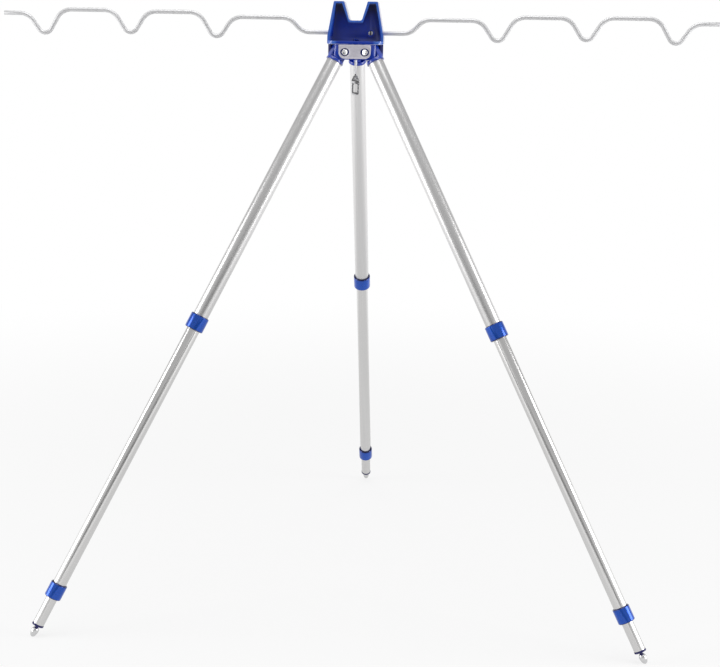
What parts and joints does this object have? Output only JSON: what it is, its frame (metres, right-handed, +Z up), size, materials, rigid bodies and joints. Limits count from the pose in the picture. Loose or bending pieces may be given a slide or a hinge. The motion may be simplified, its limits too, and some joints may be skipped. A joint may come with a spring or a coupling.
{
  "type": "surf rod tripod",
  "caption": "Tripod for surf fishing rods: a notched crown with two bent wire arms of rod rests on folding, telescopic round legs, with a snap hook under its hub.",
  "frame": {"origin": "On the ground under the middle of the box of the whole stand; +Z up.", "axes": "+X to the right along the wire arms, +Y to the rear, where the single leg stands, +Z up. The front plate faces -Y."},
  "size_m": [1.013, 0.7386, 0.8705],
  "materials": {
    "blue_plastic": "moulded, glossy royal blue",
    "dark_blue_plastic": "moulded dark blue",
    "tube_aluminium": "drawn tube, satin",
    "arm_wire": "bent wire, smooth",
    "plate_metal": "stamped plate, satin",
    "bright_steel": "bright zinc plated",
    "foot_metal": "turned, bright",
    "nylon": "white nylon"
  },
  "bodies": {
    "head": {"crown": "blue_plastic", "hub": "blue_plastic", "front_plate": "plate_metal", "crown_screw_front": "bright_steel", "crown_screw_right": "bright_steel", "crown_screw_left": "bright_steel", "left_hinge_pin": "bright_steel", "left_hinge_nut": "bright_steel", "right_hinge_pin": "bright_steel", "right_hinge_nut": "bright_steel", "rear_hinge_pin": "bright_steel", "rear_hinge_nut": "bright_steel"},
    "right_arm": {"right_arm": "arm_wire"},
    "left_arm": {"left_arm": "arm_wire"},
    "right_clamp": {"right_arm_screw": "bright_steel"},
    "left_clamp": {"left_arm_screw": "bright_steel"},
    "swivel": {"hook_swivel": "bright_steel"},
    "snap_hook": {"snap_hook": "bright_steel", "hook_pin": "bright_steel", "hook_gate_pin": "bright_steel"},
    "gate": {"hook_gate": "bright_steel"},
    "left_upper": {"left_knuckle": "blue_plastic", "left_upper_tube": "tube_aluminium", "left_upper_bush": "nylon"},
    "left_upper_collar": {"left_upper_collar": "blue_plastic"},
    "left_middle": {"left_middle_tube": "tube_aluminium", "left_middle_guide": "nylon", "left_lower_bush": "nylon"},
    "left_lower_collar": {"left_lower_collar": "blue_plastic"},
    "left_lower": {"left_lower_tube": "tube_aluminium", "left_lower_guide": "nylon", "left_end_cap": "dark_blue_plastic", "left_foot": "foot_metal"},
    "right_upper": {"right_knuckle": "blue_plastic", "right_upper_tube": "tube_aluminium", "right_upper_bush": "nylon"},
    "right_upper_collar": {"right_upper_collar": "blue_plastic"},
    "right_middle": {"right_middle_tube": "tube_aluminium", "right_middle_guide": "nylon", "right_lower_bush": "nylon"},
    "right_lower_collar": {"right_lower_collar": "blue_plastic"},
    "right_lower": {"right_lower_tube": "tube_aluminium", "right_lower_guide": "nylon", "right_end_cap": "dark_blue_plastic", "right_foot": "foot_metal"},
    "rear_upper": {"rear_knuckle": "blue_plastic", "rear_upper_tube": "tube_aluminium", "rear_upper_bush": "nylon"},
    "rear_upper_collar": {"rear_upper_collar": "blue_plastic"},
    "rear_middle": {"rear_middle_tube": "tube_aluminium", "rear_middle_guide": "nylon", "rear_lower_bush": "nylon"},
    "rear_lower_collar": {"rear_lower_collar": "blue_plastic"},
    "rear_lower": {"rear_lower_tube": "tube_aluminium", "rear_lower_guide": "nylon", "rear_end_cap": "dark_blue_plastic", "rear_foot": "foot_metal"}
  },
  "joints": [
    {"name": "left_leg_fold", "type": "hinge", "parent": "head", "child": "left_upper", "pos_m": [-0.02252, -0.13437, 0.80104], "axis": [0.5, -0.866, 0], "range_deg": [0, 30]},
    {"name": "left_upper_collar_twist", "type": "hinge", "parent": "left_upper", "child": "left_upper_collar", "pos_m": [-0.02252, -0.13437, 0.80104], "axis": [-0.433, -0.25, -0.866], "range_deg": [0, 90]},
    {"name": "left_middle_slide", "type": "slide", "parent": "left_upper", "child": "left_middle", "axis": [-0.433, -0.25, -0.866], "range_m": [-0.36, 0]},
    {"name": "left_lower_collar_twist", "type": "hinge", "parent": "left_middle", "child": "left_lower_collar", "pos_m": [-0.02252, -0.13437, 0.80104], "axis": [-0.433, -0.25, -0.866], "range_deg": [0, 90]},
    {"name": "left_lower_slide", "type": "slide", "parent": "left_middle", "child": "left_lower", "axis": [-0.433, -0.25, -0.866], "range_m": [-0.034, 0.33]},
    {"name": "right_leg_fold", "type": "hinge", "parent": "head", "child": "right_upper", "pos_m": [0.02252, -0.13437, 0.80104], "axis": [0.5, 0.866, 0], "range_deg": [0, 30]},
    {"name": "right_upper_collar_twist", "type": "hinge", "parent": "right_upper", "child": "right_upper_collar", "pos_m": [0.02252, -0.13437, 0.80104], "axis": [0.433, -0.25, -0.866], "range_deg": [0, 90]},
    {"name": "right_middle_slide", "type": "slide", "parent": "right_upper", "child": "right_middle", "axis": [0.433, -0.25, -0.866], "range_m": [-0.36, 0]},
    {"name": "right_lower_collar_twist", "type": "hinge", "parent": "right_middle", "child": "right_lower_collar", "pos_m": [0.02252, -0.13437, 0.80104], "axis": [0.433, -0.25, -0.866], "range_deg": [0, 90]},
    {"name": "right_lower_slide", "type": "slide", "parent": "right_middle", "child": "right_lower", "axis": [0.433, -0.25, -0.866], "range_m": [-0.034, 0.33]},
    {"name": "rear_leg_fold", "type": "hinge", "parent": "head", "child": "rear_upper", "pos_m": [0, -0.09537, 0.80104], "axis": [-1, 0, 0], "range_deg": [0, 30]},
    {"name": "rear_upper_collar_twist", "type": "hinge", "parent": "rear_upper", "child": "rear_upper_collar", "pos_m": [0, -0.09537, 0.80104], "axis": [0, 0.5, -0.866], "range_deg": [0, 90]},
    {"name": "rear_middle_slide", "type": "slide", "parent": "rear_upper", "child": "rear_middle", "axis": [0, 0.5, -0.866], "range_m": [-0.36, 0]},
    {"name": "rear_lower_collar_twist", "type": "hinge", "parent": "rear_middle", "child": "rear_lower_collar", "pos_m": [0, -0.09537, 0.80104], "axis": [0, 0.5, -0.866], "range_deg": [0, 90]},
    {"name": "rear_lower_slide", "type": "slide", "parent": "rear_middle", "child": "rear_lower", "axis": [0, 0.5, -0.866], "range_m": [-0.034, 0.33]},
    {"name": "right_arm_slide", "type": "slide", "parent": "head", "child": "right_arm", "axis": [1, 0, 0], "range_m": [0, 0.028]},
    {"name": "left_arm_slide", "type": "slide", "parent": "head", "child": "left_arm", "axis": [-1, 0, 0], "range_m": [0, 0.028]},
    {"name": "right_clamp_turn", "type": "hinge", "parent": "head", "child": "right_clamp", "pos_m": [0.021, -0.12137, 0.82754], "axis": [0, -1, 0], "continuous": true},
    {"name": "left_clamp_turn", "type": "hinge", "parent": "head", "child": "left_clamp", "pos_m": [-0.021, -0.12137, 0.82754], "axis": [0, 1, 0], "continuous": true},
    {"name": "hook_turn", "type": "hinge", "parent": "head", "child": "swivel", "pos_m": [0, -0.12137, 0.79104], "axis": [0, 0, 1], "continuous": true},
    {"name": "hook_swing", "type": "hinge", "parent": "swivel", "child": "snap_hook", "pos_m": [0, -0.12137, 0.76504], "axis": [0, 1, 0], "range_deg": [-25, 25]},
    {"name": "gate_open", "type": "hinge", "parent": "snap_hook", "child": "gate", "pos_m": [0.0041, -0.12137, 0.75764], "axis": [0, 1, 0], "range_deg": [0, 20], "stiffness_Nm_per_rad": 0.02, "springref_deg": -11.46}
  ]
}
